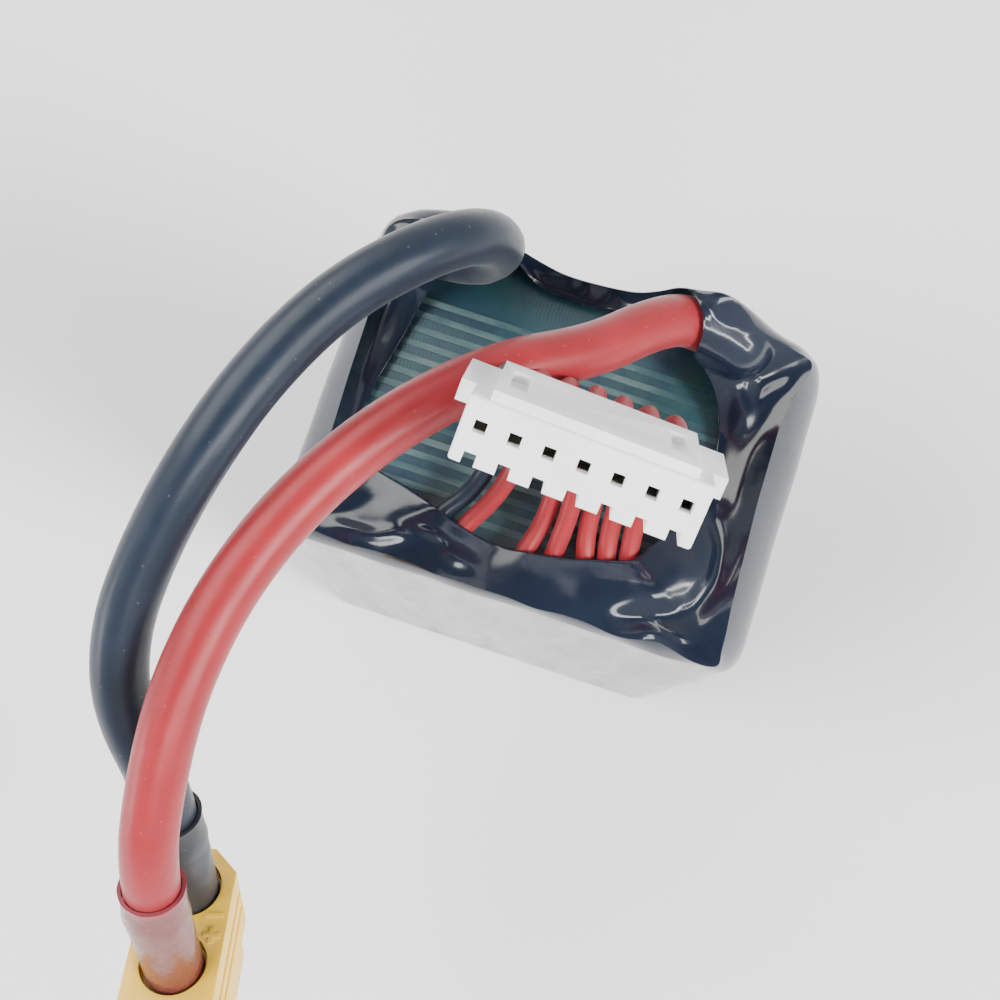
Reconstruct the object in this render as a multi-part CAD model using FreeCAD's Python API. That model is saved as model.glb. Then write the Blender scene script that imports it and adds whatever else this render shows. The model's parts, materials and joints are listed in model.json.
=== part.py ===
import FreeCAD, Part
import math
import os

# A six-cell lithium-polymer flight pack, standing on its plain end, in millimetres.
# +Z runs up the pack to the end that the leads leave, +X runs across the stack of cells,
# and +Y points to the wall beside which the two thick leads come out.
# The origin is the middle of the pack's plain end, on the surface that it stands on.

V = FreeCAD.Vector

# ---- pack body -------------------------------------------------------------------------
PACK_X = 43.5
PACK_Y = 31.0
PACK_Z = 60.0
FILM = 0.4
FILM_CORNER = 3.0
FILM_LIP = 5.0
SMALL = 0.02

# ---- cells -----------------------------------------------------------------------------
CELL_COUNT = 6
CELL_THICK = 6.9
CELL_WIDE = 29.8
CELL_BODY = 44.5
CELL_SHOULDER = 2.0
CELL_EDGE = 1.5
SEAL_THICK = 0.6
SEAL_HIGH = 2.4
TAPE_THICK = 0.2
TAPE_WIDE = 22.0
TAPE_HIGH = 36.0
CELL_PITCH = CELL_THICK + TAPE_THICK

# ---- end pad, insulation and board -----------------------------------------------------
PAD_THICK = 2.2
PAD_CLEARANCE = 0.1
CELL_BOTTOM = FILM + PAD_THICK
SHOULDER_BOTTOM = CELL_BOTTOM + CELL_BODY
SEAL_BOTTOM = SHOULDER_BOTTOM + CELL_SHOULDER
SEAL_TOP = SEAL_BOTTOM + SEAL_HIGH
BOARD_CLEARANCE = 0.3
BOARD_WIDE = 39.2
SHEET_BOTTOM = 51.7
SHEET_THICK = 0.3
BOARD_BOTTOM = 55.4
BOARD_THICK = 1.6
BOARD_TOP = BOARD_BOTTOM + BOARD_THICK
TRACK_HIGH = 0.08
TRACK_WIDE = 0.6
TRACK_PITCH = 1.4
TRACK_COUNT = 14
TRACK_LONG = 37.0

# ---- cell tabs -------------------------------------------------------------------------
TAB_WIDE = 5.0
TAB_THICK = 0.2
TAB_Y = 7.5
TAB_ARM = 4.4
TAB_END_ARM = 2.6
TAB_SLOT_CLEARANCE = 0.2

# ---- window in the film over the board -------------------------------------------------
WINDOW_X = (-17.0, 13.5)
WINDOW_Y = (-10.5, 11.0)
LEAD_SLOT_X = (-20.2, 20.2)
LEAD_SLOT_Y = (10.0, PACK_Y / 2 - FILM)

# ---- power leads: 12 AWG silicone wire ---------------------------------------------------
LEAD_DIAMETER = 4.6
CONDUCTOR_DIAMETER = 2.6
LEAD_JOINT_LONG = 1.6
LEAD_JOINT_WIDE = 3.6
LEAD_JOINT_EDGE = 0.5
POSITIVE_ROUTE = [
    (12.9, 12.9, 60.9),
    (8.3, 13.4, 62.8),
    (4.9, 10.9, 65.6),
    (0.5, 5.5, 69.2),
    (-6.2, 0.6, 73.2),
    (-12.5, -6.7, 75.4),
    (-17.0, -14.5, 76.2),
    (-19.8, -22.4, 76.0),
    (-20.9, -30.2, 75.2),
    (-20.7, -37.3, 73.0),
    (-19.81, -45.06, 68.6),
    (-18.56, -49.09, 62.04),
]
NEGATIVE_ROUTE = [
    (-17.9, 12.7, 60.2),
    (-12.3, 12.7, 60.2),
    (-9.4, 12.6, 66.6),
    (-10.4, 11.0, 73.4),
    (-13.7, 7.3, 77.6),
    (-18.9, 0.7, 79.4),
    (-22.4, -7.2, 80.3),
    (-24.7, -14.9, 79.4),
    (-26.5, -21.8, 76.0),
    (-27.2, -28.2, 73.0),
    (-26.0, -33.8, 69.2),
    (-21.34, -39.09, 64.88),
    (-20.06, -43.22, 58.15),
]

# ---- power plug: two-pole bullet connector ----------------------------------------------
PLUG_BACK = V(-17.95, -50.55, 52.95)
PLUG_AXIS = V(0.16, -0.517, -0.841)
PLUG_LONG_AXIS = V(-0.208, 0.816, -0.540)
POLE_SPACING = 7.2
PLUG_THICK = 8.0
PLUG_PLUS_END = -7.9
PLUG_MINUS_END = 7.4
PLUG_CHAMFER = 2.2
PLUG_EDGE = 0.8
PLUG_REAR_LONG = 9.0
PLUG_LONG = 16.0
PLUG_STEP = 0.8
GROOVE_DEEP = 0.4
GROOVE_WIDE = 0.9
GROOVES_FROM_BACK = (3.2, 5.6)
GROOVE_X = (-7.2, 5.0)
MARK_X = 0.95
MARK_FROM_SIDE = 1.15
MARK_ARM = 0.75
MARK_BAR = 0.22
MARK_RAISED = 0.12
RECESS_RADIUS = 2.9
RECESS_DEEP = 1.6
SOCKET_RADIUS = 2.25
SOCKET_BORE_RADIUS = 1.75
SOCKET_BORE_DEEP = 9.0
SOCKET_FRONT = 15.6
CUP_OUT = 4.5
CUP_BORE_RADIUS = 1.65
CUP_FLOOR = -0.5
JACKET_END = -8.5
SOLDER_CONE = 0.6
SLEEVE_OUT = 14.0
SLEEVE_IN = 1.2
SLEEVE_WALL = 0.35
SLEEVE_MOUTH_WALL = 0.5
SLEEVE_CLEARANCE = 0.08
SLEEVE_TAPER = (CUP_OUT + 0.5, CUP_OUT + 3.0)

# ---- balance connector: seven poles at 2.5 mm --------------------------------------------
POLE_COUNT = 7
PITCH = 2.5
BALANCE_FRONT = V(2.45, -8.4, 88.8)
BALANCE_ROW_AXIS = V(0.998, -0.05, -0.03)
BALANCE_FRONT_AXIS = V(0.03, -0.48, 0.877)
BALANCE_WIDE = 17.8
BALANCE_LOW = -2.86
BALANCE_HIGH = 1.99
BALANCE_LONG = 9.8
PLATEAU_WIDE = 15.0
PLATEAU_HIGH = 0.76
RIB_WIDE = 19.8
RIB_THICK = 1.6
RIB_LONG = 6.6
POCKET_WIDE = 1.3
POCKET_DEEP = 0.7
POCKET_FROM_END = 1.5
POCKET_FROM_REAR = (2.2, 7.0)
HOUSING_EDGE = 0.25
HOUSING_STEP = 0.3
NOTCH_WIDE = 0.95
NOTCH_DEEP = 0.95
NOTCH_LONG = 6.0
PIN_HOLE = 0.9
CAVITY = 1.9
CAVITY_FRONT = 1.0
CONTACT_SIDE = 1.6
CONTACT_GAP = 0.15
CONTACT_SOCKET_LONG = 4.5
CONTACT_REAR = 7.8

# ---- balance wires: 22 AWG silicone wire -------------------------------------------------
BALANCE_WIRE_DIAMETER = 1.7
# Each route starts at its solder joint on the board and ends on its contact.
BALANCE_ROUTES = [
    [(-9.0, -13.4, 58.1), (-8.4, -10.4, 58.2), (-5.2, -6.6, 59.4), (-4.3, -1.3, 64.4),
     (-4.9, 2.5, 71.1), (-5.44, -1.69, 77.46), (-5.27, -4.38, 82.37)],
    [(-6.6, -13.4, 58.1), (-5.9, -10.9, 58.2), (-3.0, -6.5, 60.8), (-2.2, -1.4, 65.2),
     (-2.5, 2.4, 71.1), (-2.94, -1.79, 77.32), (-2.77, -4.47, 82.23)],
    [(-0.2, -13.4, 58.1), (0.3, -10.9, 58.2), (1.5, -6.8, 59.6), (0.8, -1.2, 64.8),
     (-0.3, 2.4, 71.0), (-0.45, -1.88, 77.19), (-0.28, -4.56, 82.10)],
    [(2.9, -13.4, 58.1), (2.9, -10.7, 58.2), (3.2, -6.6, 60.9), (2.7, -1.2, 65.5),
     (2.0, 2.5, 71.2), (2.05, -1.97, 77.05), (2.22, -4.66, 81.96)],
    [(6.1, -13.4, 58.1), (6.1, -10.7, 58.2), (4.9, -6.7, 59.9), (4.7, -1.3, 64.7),
     (4.2, 2.4, 71.0), (4.54, -2.06, 76.92), (4.71, -4.75, 81.83)],
    [(8.1, -13.4, 58.1), (8.0, -10.7, 58.2), (6.9, -6.6, 59.9), (6.7, -1.3, 64.7),
     (6.3, 2.3, 71.0), (7.04, -2.15, 76.78), (7.21, -4.84, 81.69)],
    [(10.1, -13.4, 58.1), (9.9, -10.6, 58.2), (8.9, -6.4, 59.9), (8.8, -1.3, 64.7),
     (8.5, 2.2, 71.0), (9.53, -2.25, 76.64), (9.70, -4.93, 81.55)],
]
BALANCE_JOINT_SIDE = 1.6
BALANCE_JOINT_HIGH = 2.0
BALANCE_JOINT_EDGE = 0.3


def save(name, shape):
    shape.exportStep("parts/" + name + ".step")


def block(low_x, high_x, low_y, high_y, low_z, high_z):
    return Part.makeBox(high_x - low_x, high_y - low_y, high_z - low_z, V(low_x, low_y, low_z))


def rounded_block(low_x, high_x, low_y, high_y, low_z, high_z, radius):
    solid = block(low_x, high_x, low_y, high_y, low_z, high_z)
    upright = [edge for edge in solid.Edges if abs(edge.tangentAt(0).z) > 0.99]
    return solid.makeFillet(radius, upright)


def centred_block(size_x, size_y, low_z, high_z, radius):
    return rounded_block(-size_x / 2, size_x / 2, -size_y / 2, size_y / 2, low_z, high_z, radius)


def prism(outline, direction):
    corners = [V(*point) for point in outline]
    wire = Part.makePolygon(corners + [corners[0]])
    return Part.Face(wire).extrude(direction)


def frame_at(origin, x_axis, y_axis, z_axis):
    return FreeCAD.Matrix(
        x_axis.x, y_axis.x, z_axis.x, origin.x,
        x_axis.y, y_axis.y, z_axis.y, origin.y,
        x_axis.z, y_axis.z, z_axis.z, origin.z,
        0.0, 0.0, 0.0, 1.0,
    )


def connector_frame(origin, row_axis, mating_axis):
    """A frame whose Z is the mating axis and whose X is the row of poles."""
    z_axis = V(mating_axis).normalize()
    x_axis = row_axis - z_axis * row_axis.dot(z_axis)
    x_axis.normalize()
    return frame_at(origin, x_axis, z_axis.cross(x_axis), z_axis)


def placed(shape, matrix):
    copy = shape.copy()
    copy.transformShape(matrix)
    return copy


def turned(profile):
    """Turn a closed outline of (radius, z) pairs about the Z axis."""
    corners = [V(radius, 0, z) for radius, z in profile]
    wire = Part.makePolygon(corners + [corners[0]])
    return Part.Face(wire).revolve(V(0, 0, 0), V(0, 0, 1), 360)


def cord(name, route, diameter):
    """A round cord: straight runs joined by the largest tangent arcs that the runs allow."""
    points = [V(*point) for point in route]
    edges = []
    radii = []
    start = points[0]
    for before, corner, after in zip(points, points[1:], points[2:]):
        run_in = corner - before
        run_out = after - corner
        half_turn = run_in.getAngle(run_out) / 2
        shorter = min(run_in.Length, run_out.Length)
        setback = 0.45 * shorter
        radii.append(setback / math.tan(half_turn))
        way_in = V(run_in).normalize()
        way_out = V(run_out).normalize()
        arc_start = corner - way_in * setback
        arc_end = corner + way_out * setback
        inward = (way_out - way_in).normalize()
        sagitta = radii[-1] / math.cos(half_turn) - radii[-1]
        edges.append(Part.LineSegment(start, arc_start).toShape())
        edges.append(Part.Arc(arc_start, corner + inward * sagitta, arc_end).toShape())
        start = arc_end
    edges.append(Part.LineSegment(start, points[-1]).toShape())
    path = Part.Wire(edges)
    section = Part.Wire(Part.makeCircle(diameter / 2, points[0], points[1] - points[0]))
    solid = path.makePipeShell([section], True, False)
    expected = math.pi * diameter ** 2 / 4 * path.Length
    print(name, "length", round(path.Length, 1), "volume ratio", round(solid.Volume / expected, 4))
    print("   arc radii", [round(radius, 1) for radius in radii])
    return solid


# ---- pack body pieces ----------------------------------------------------------------------
def film_block(clearance, low_z, high_z):
    """A block that fills the film's inside, less a clearance on every side."""
    gap = FILM + clearance
    return centred_block(PACK_X - 2 * gap, PACK_Y - 2 * gap, low_z, high_z, FILM_CORNER - FILM)


def shrink_wrap():
    lip = FILM_LIP
    skin = centred_block(PACK_X, PACK_Y, 0, PACK_Z, FILM_CORNER)
    inside = film_block(0, FILM, PACK_Z - FILM)
    bottom_hole = centred_block(PACK_X - 2 * lip, PACK_Y - 2 * lip, -FILM, 2 * FILM, FILM_CORNER)
    window = rounded_block(*WINDOW_X, *WINDOW_Y, PACK_Z - 2 * FILM, PACK_Z + FILM, FILM_CORNER)
    lead_slot = block(*LEAD_SLOT_X, *LEAD_SLOT_Y, PACK_Z - FILM - SMALL, PACK_Z + FILM)
    return skin.cut(inside).cut(bottom_hole).cut(window).cut(lead_slot)


def end_pad():
    return film_block(PAD_CLEARANCE, FILM, CELL_BOTTOM)


def cell_centre(index):
    return (index - (CELL_COUNT - 1) / 2) * CELL_PITCH


def pouch_cell(centre):
    """One pouch: a flat bag whose shoulders slope up to the sealed edge that holds the tabs."""
    side = CELL_THICK / 2
    bevel = CELL_EDGE / 2
    seal = SEAL_THICK / 2
    half_outline = [
        (side - bevel, CELL_BOTTOM), (side, CELL_BOTTOM + bevel), (side, SHOULDER_BOTTOM),
        (seal, SEAL_BOTTOM), (seal, SEAL_TOP),
    ]
    outline = half_outline + [(-x, z) for x, z in reversed(half_outline)]
    corners = [(centre + x, -CELL_WIDE / 2, z) for x, z in outline]
    solid = prism(corners, V(0, CELL_WIDE, 0))
    middle = CELL_BOTTOM + CELL_BODY / 2
    upright = [
        edge for edge in solid.Edges
        if abs(edge.tangentAt(0).z) > 0.99 and abs(edge.CenterOfMass.z - middle) < 1.0
    ]
    return solid.makeFillet(CELL_EDGE, upright)


def cell_tape(centre):
    low = CELL_BOTTOM + (CELL_BODY - TAPE_HIGH) / 2
    return block(
        centre - TAPE_THICK / 2, centre + TAPE_THICK / 2,
        -TAPE_WIDE / 2, TAPE_WIDE / 2, low, low + TAPE_HIGH,
    )


def cell_tab(centre, side_y, toward, layer, arm):
    """A tab that stands on the pouch's seal and folds over towards the cell that it joins."""
    half = TAB_THICK / 2
    low_y = side_y - TAB_WIDE / 2
    high_y = side_y + TAB_WIDE / 2
    arm_low = BOARD_BOTTOM - (2 - layer) * TAB_THICK
    arm_top = arm_low + TAB_THICK
    near_x = centre - toward * half
    far_x = centre + toward * arm
    stem = block(centre - half, centre + half, low_y, high_y, SEAL_TOP, arm_top)
    flap = block(min(near_x, far_x), max(near_x, far_x), low_y, high_y, arm_low, arm_top)
    return stem.fuse(flap).removeSplitter()


def insulation_sheet():
    sheet = film_block(BOARD_CLEARANCE, SHEET_BOTTOM, SHEET_BOTTOM + SHEET_THICK)
    half_x = TAB_THICK / 2 + TAB_SLOT_CLEARANCE
    half_y = TAB_WIDE / 2 + TAB_SLOT_CLEARANCE
    for index in range(CELL_COUNT):
        centre = cell_centre(index)
        for side_y in (-TAB_Y, TAB_Y):
            slot = block(
                centre - half_x, centre + half_x, side_y - half_y, side_y + half_y,
                SHEET_BOTTOM - SHEET_THICK, SHEET_BOTTOM + 2 * SHEET_THICK,
            )
            sheet = sheet.cut(slot)
    return sheet


def end_board():
    deep = PACK_Y - 2 * (FILM + BOARD_CLEARANCE)
    return centred_block(BOARD_WIDE, deep, BOARD_BOTTOM, BOARD_TOP, FILM_CORNER - FILM)


def board_tracks():
    strips = []
    for index in range(TRACK_COUNT):
        middle = (index - (TRACK_COUNT - 1) / 2) * TRACK_PITCH
        strips.append(rounded_block(
            -TRACK_LONG / 2, TRACK_LONG / 2, middle - TRACK_WIDE / 2, middle + TRACK_WIDE / 2,
            BOARD_TOP, BOARD_TOP + TRACK_HIGH, TRACK_WIDE * 0.4,
        ))
    return Part.makeCompound(strips)


def lead_joint(route, toward):
    """The solder that holds a lead's tinned end on the board, beyond the end of its jacket."""
    start = V(*route[0])
    near_x = start.x
    far_x = start.x + toward * LEAD_JOINT_LONG
    return rounded_block(
        min(near_x, far_x), max(near_x, far_x),
        start.y - LEAD_JOINT_WIDE / 2, start.y + LEAD_JOINT_WIDE / 2,
        BOARD_TOP, start.z + CONDUCTOR_DIAMETER / 2, LEAD_JOINT_EDGE,
    )


def balance_joints():
    joints = []
    for route in BALANCE_ROUTES:
        start = V(*route[0])
        joints.append(rounded_block(
            start.x - BALANCE_JOINT_SIDE / 2, start.x + BALANCE_JOINT_SIDE / 2,
            start.y - BALANCE_JOINT_SIDE, start.y,
            BOARD_TOP, BOARD_TOP + BALANCE_JOINT_HIGH, BALANCE_JOINT_EDGE,
        ))
    return Part.makeCompound(joints)


# ---- power plug pieces, made with +Z along the mating axis and +X towards the minus pole -----
def plug_outline(inset, low, high):
    side = PLUG_THICK / 2 - inset
    plus = PLUG_PLUS_END + inset
    minus = PLUG_MINUS_END - inset
    flat = side - PLUG_CHAMFER + inset / 2
    corner = minus - PLUG_CHAMFER + inset / 2
    outline = [
        (plus, -side, low), (corner, -side, low), (minus, -flat, low),
        (minus, flat, low), (corner, side, low), (plus, side, low),
    ]
    solid = prism(outline, V(0, 0, high - low))
    square_corners = [
        edge for edge in solid.Edges
        if abs(edge.CenterOfMass.x - plus) < SMALL and abs(edge.tangentAt(0).z) > 0.99
    ]
    return solid.makeFillet(PLUG_EDGE, square_corners)


def polarity_marks():
    """A raised plus by the positive pole and a raised minus by the negative one."""
    middle_y = PLUG_THICK / 2 - MARK_FROM_SIDE
    low_y, high_y = middle_y - MARK_BAR, middle_y + MARK_BAR
    bars = [
        block(-MARK_X - MARK_ARM, -MARK_X + MARK_ARM, low_y, high_y, -MARK_RAISED, MARK_RAISED),
        block(MARK_X - MARK_BAR, MARK_X + MARK_BAR, middle_y - MARK_ARM, middle_y + MARK_ARM,
              -MARK_RAISED, MARK_RAISED),
        block(-MARK_X - MARK_BAR, -MARK_X + MARK_BAR, middle_y - MARK_ARM, middle_y + MARK_ARM,
              -MARK_RAISED, MARK_RAISED),
    ]
    return bars


def power_plug_housing():
    rear = plug_outline(0, 0, PLUG_REAR_LONG)
    body = rear.fuse(plug_outline(PLUG_STEP, PLUG_REAR_LONG, PLUG_LONG))
    for side in (-1, 1):
        for groove in GROOVES_FROM_BACK:
            wall = side * PLUG_THICK / 2
            body = body.cut(block(
                *GROOVE_X, wall - GROOVE_DEEP, wall + GROOVE_DEEP,
                groove - GROOVE_WIDE / 2, groove + GROOVE_WIDE / 2,
            ))
    for pole in (-1, 1):
        below = V(pole * POLE_SPACING / 2, 0, -1)
        body = body.cut(Part.makeCylinder(SOCKET_RADIUS, PLUG_LONG + 2, below))
        body = body.cut(Part.makeCylinder(RECESS_RADIUS, RECESS_DEEP + 1, below))
    return body.fuse(polarity_marks()).removeSplitter()


def plug_socket():
    return turned([
        (CUP_BORE_RADIUS, -CUP_OUT), (SOCKET_RADIUS, -CUP_OUT),
        (SOCKET_RADIUS, SOCKET_FRONT), (SOCKET_BORE_RADIUS, SOCKET_FRONT),
        (SOCKET_BORE_RADIUS, SOCKET_FRONT - SOCKET_BORE_DEEP), (0, SOCKET_FRONT - SOCKET_BORE_DEEP),
        (0, CUP_FLOOR), (CUP_BORE_RADIUS, CUP_FLOOR),
    ])


def conductor_end():
    return Part.makeCylinder(CONDUCTOR_DIAMETER / 2, CUP_FLOOR - JACKET_END, V(0, 0, JACKET_END))


def cup_solder():
    half = CONDUCTOR_DIAMETER / 2
    return turned([
        (half, CUP_FLOOR), (CUP_BORE_RADIUS, CUP_FLOOR), (CUP_BORE_RADIUS, -CUP_OUT),
        (half, -CUP_OUT - SOLDER_CONE),
    ])


def cup_sleeve():
    """Heat-shrink tube from inside the housing's recess, over the cup, to the lead's jacket."""
    over_cup = SOCKET_RADIUS + SMALL
    over_lead = LEAD_DIAMETER / 2 + SLEEVE_CLEARANCE
    mouth = over_cup + SLEEVE_MOUTH_WALL
    taper_from, taper_to = SLEEVE_TAPER
    return turned([
        (over_cup, SLEEVE_IN), (mouth, SLEEVE_IN), (mouth, -taper_from),
        (over_lead + SLEEVE_WALL, -taper_to), (over_lead + SLEEVE_WALL, -SLEEVE_OUT),
        (over_lead, -SLEEVE_OUT), (over_lead, -taper_to), (over_cup, -taper_from),
    ])


# ---- balance connector pieces, +Z out of the front face, +X along the row of poles -----------
def pole_offset(index):
    return (index - (POLE_COUNT - 1) / 2) * PITCH


def balance_shell():
    """The housing's outside: a block with a raised plateau, two ribs and a pocket at each end."""
    half = BALANCE_WIDE / 2
    rear = -BALANCE_LONG
    body = block(-half, half, BALANCE_LOW, BALANCE_HIGH, rear, 0)
    outer_edges = [
        edge for edge in body.Edges
        if abs(edge.CenterOfMass.z) < SMALL or abs(abs(edge.CenterOfMass.x) - half) < SMALL
    ]
    body = body.makeFillet(HOUSING_EDGE, outer_edges)
    plateau_top = BALANCE_HIGH + PLATEAU_HIGH
    plateau = block(
        -PLATEAU_WIDE / 2, PLATEAU_WIDE / 2, 0, plateau_top, rear, -HOUSING_STEP,
    )
    rib = block(
        -RIB_WIDE / 2, RIB_WIDE / 2, BALANCE_HIGH - RIB_THICK, BALANCE_HIGH, rear, rear + RIB_LONG,
    )
    shell = body.fuse([plateau, rib])
    for side in (-1, 1):
        middle = side * (PLATEAU_WIDE / 2 - POCKET_FROM_END)
        shell = shell.cut(block(
            middle - POCKET_WIDE / 2, middle + POCKET_WIDE / 2,
            plateau_top - POCKET_DEEP, plateau_top + POCKET_DEEP,
            rear + POCKET_FROM_REAR[0], rear + POCKET_FROM_REAR[1],
        ))
    return shell


def square_bar(middle, side, low_z, high_z):
    return block(middle - side / 2, middle + side / 2, -side / 2, side / 2, low_z, high_z)


def balance_housing():
    housing = balance_shell()
    for index in range(POLE_COUNT):
        middle = pole_offset(index)
        hole = square_bar(middle, PIN_HOLE, -BALANCE_LONG, 1)
        cavity = square_bar(middle, CAVITY, -BALANCE_LONG - 1, -CAVITY_FRONT)
        notch = block(
            middle - NOTCH_WIDE / 2, middle + NOTCH_WIDE / 2,
            BALANCE_LOW - 1, BALANCE_LOW + NOTCH_DEEP, -NOTCH_LONG, 1,
        )
        housing = housing.cut(hole).cut(cavity).cut(notch)
    return housing.removeSplitter()


def balance_contact(index):
    """A crimped contact: a square tube for the pin, closed at the crimp."""
    middle = pole_offset(index)
    front = -CAVITY_FRONT - CONTACT_GAP
    tube = square_bar(middle, CONTACT_SIDE, -CONTACT_REAR, front)
    return tube.cut(square_bar(middle, PIN_HOLE, front - CONTACT_SOCKET_LONG, front + 1))


def save_pack_body():
    save("shrink_wrap", shrink_wrap())
    save("end_pad", end_pad())
    save("insulation_sheet", insulation_sheet())
    save("end_board", end_board())
    save("board_tracks", board_tracks())
    for index in range(CELL_COUNT):
        centre = cell_centre(index)
        number = str(index + 1)
        plus_y = TAB_Y if index % 2 == 0 else -TAB_Y
        plus_arm = TAB_ARM if index < CELL_COUNT - 1 else TAB_END_ARM
        minus_arm = TAB_ARM if index > 0 else TAB_END_ARM
        save("cell_" + number, pouch_cell(centre))
        save("cell_" + number + "_plus_tab", cell_tab(centre, plus_y, 1, 0, plus_arm))
        save("cell_" + number + "_minus_tab", cell_tab(centre, -plus_y, -1, 1, minus_arm))
        if index > 0:
            save("cell_tape_" + str(index), cell_tape(centre - CELL_PITCH / 2))


def save_power_leads():
    save("positive_lead_joint", lead_joint(POSITIVE_ROUTE, 1))
    save("negative_lead_joint", lead_joint(NEGATIVE_ROUTE, -1))
    save("positive_lead", cord("positive_lead", POSITIVE_ROUTE, LEAD_DIAMETER))
    save("negative_lead", cord("negative_lead", NEGATIVE_ROUTE, LEAD_DIAMETER))


def save_power_plug():
    matrix = connector_frame(PLUG_BACK, PLUG_LONG_AXIS, PLUG_AXIS)
    save("power_plug_housing", placed(power_plug_housing(), matrix))
    for pole, side in (("positive", -1), ("negative", 1)):
        shift = V(side * POLE_SPACING / 2, 0, 0)
        pieces = {
            "socket": plug_socket(), "conductor_end": conductor_end(),
            "cup_solder": cup_solder(), "cup_sleeve": cup_sleeve(),
        }
        for name, piece in pieces.items():
            save(pole + "_" + name, placed(piece.translated(shift), matrix))


def save_balance_lead():
    matrix = connector_frame(BALANCE_FRONT, BALANCE_ROW_AXIS, BALANCE_FRONT_AXIS)
    save("balance_housing", placed(balance_housing(), matrix))
    save("balance_solder_joints", balance_joints())
    for index, route in enumerate(BALANCE_ROUTES):
        number = str(index + 1)
        save("balance_contact_" + number, placed(balance_contact(index), matrix))
        save("balance_wire_" + number, cord("balance_wire_" + number, route, BALANCE_WIRE_DIAMETER))


os.makedirs("parts", exist_ok=True)
save_pack_body()
save_power_leads()
save_power_plug()
save_balance_lead()
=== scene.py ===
"""The looks of a six-cell flight pack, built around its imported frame, in metres."""

import json
import math
from bisect import bisect_right

import bmesh
import bpy
from mathutils import Matrix, Vector, noise


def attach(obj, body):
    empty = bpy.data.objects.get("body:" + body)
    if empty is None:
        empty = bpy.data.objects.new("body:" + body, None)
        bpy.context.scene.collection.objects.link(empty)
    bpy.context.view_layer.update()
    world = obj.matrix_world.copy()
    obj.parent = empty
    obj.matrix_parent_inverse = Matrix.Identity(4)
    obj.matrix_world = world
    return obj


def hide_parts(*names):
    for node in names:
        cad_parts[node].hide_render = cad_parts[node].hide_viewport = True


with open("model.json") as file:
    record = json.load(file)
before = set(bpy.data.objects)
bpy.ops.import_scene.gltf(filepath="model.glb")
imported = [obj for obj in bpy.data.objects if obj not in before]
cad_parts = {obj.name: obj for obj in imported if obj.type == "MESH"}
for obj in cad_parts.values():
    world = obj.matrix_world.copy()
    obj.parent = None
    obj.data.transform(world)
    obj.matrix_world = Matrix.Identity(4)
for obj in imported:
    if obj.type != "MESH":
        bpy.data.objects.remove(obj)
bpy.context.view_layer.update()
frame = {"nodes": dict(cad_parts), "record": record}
NODES = frame["nodes"]
MM = 0.001
BODY = "root"
NOISE_SEED = 7
noise.seed_set(NOISE_SEED)  # without it, noise_vector starts from the clock in each run


def mm(x, y, z):
    return Vector((x, y, z)) * MM


# ---- places read from the frame ----------------------------------------------------------------
MOUNTS = {mount["name"]: mount for mount in frame["record"]["mounts"]}


def mount_place(name):
    return Vector(MOUNTS[name]["pos_m"])


# The mouth of each round hole on the plug's lead side, and how far it is behind the socket's mount.
MOUTH_TO_SOCKET = 11.1 * MM
PLUG_AXIS = Vector(MOUNTS["positive_socket"]["axis"]).normalized()
HOLES = {
    "positive": mount_place("positive_socket") - PLUG_AXIS * MOUTH_TO_SOCKET,
    "negative": mount_place("negative_socket") - PLUG_AXIS * MOUTH_TO_SOCKET,
}

# ---- routes of the cords, the same points as in the part's source, in millimetres --------------
LEAD_DIAMETER = 4.6
LEAD_ROUTES = {
    "positive": [
        (12.9, 12.9, 60.9),
        (8.3, 13.4, 62.8),
        (4.9, 10.9, 65.6),
        (0.5, 5.5, 69.2),
        (-6.2, 0.6, 73.2),
        (-12.5, -6.7, 75.4),
        (-17.0, -14.5, 76.2),
        (-19.8, -22.4, 76.0),
        (-20.9, -30.2, 75.2),
        (-20.7, -37.3, 73.0),
        (-19.81, -45.06, 68.6),
        (-18.56, -49.09, 62.04),
    ],
    "negative": [
        (-17.9, 12.7, 60.2),
        (-12.3, 12.7, 60.2),
        (-9.4, 12.6, 66.6),
        (-10.4, 11.0, 73.4),
        (-13.7, 7.3, 77.6),
        (-18.9, 0.7, 79.4),
        (-22.4, -7.2, 80.3),
        (-24.7, -14.9, 79.4),
        (-26.5, -21.8, 76.0),
        (-27.2, -28.2, 73.0),
        (-26.0, -33.8, 69.2),
        (-21.34, -39.09, 64.88),
        (-20.06, -43.22, 58.15),
    ],
}
WIRE_DIAMETER = 1.7
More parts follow.
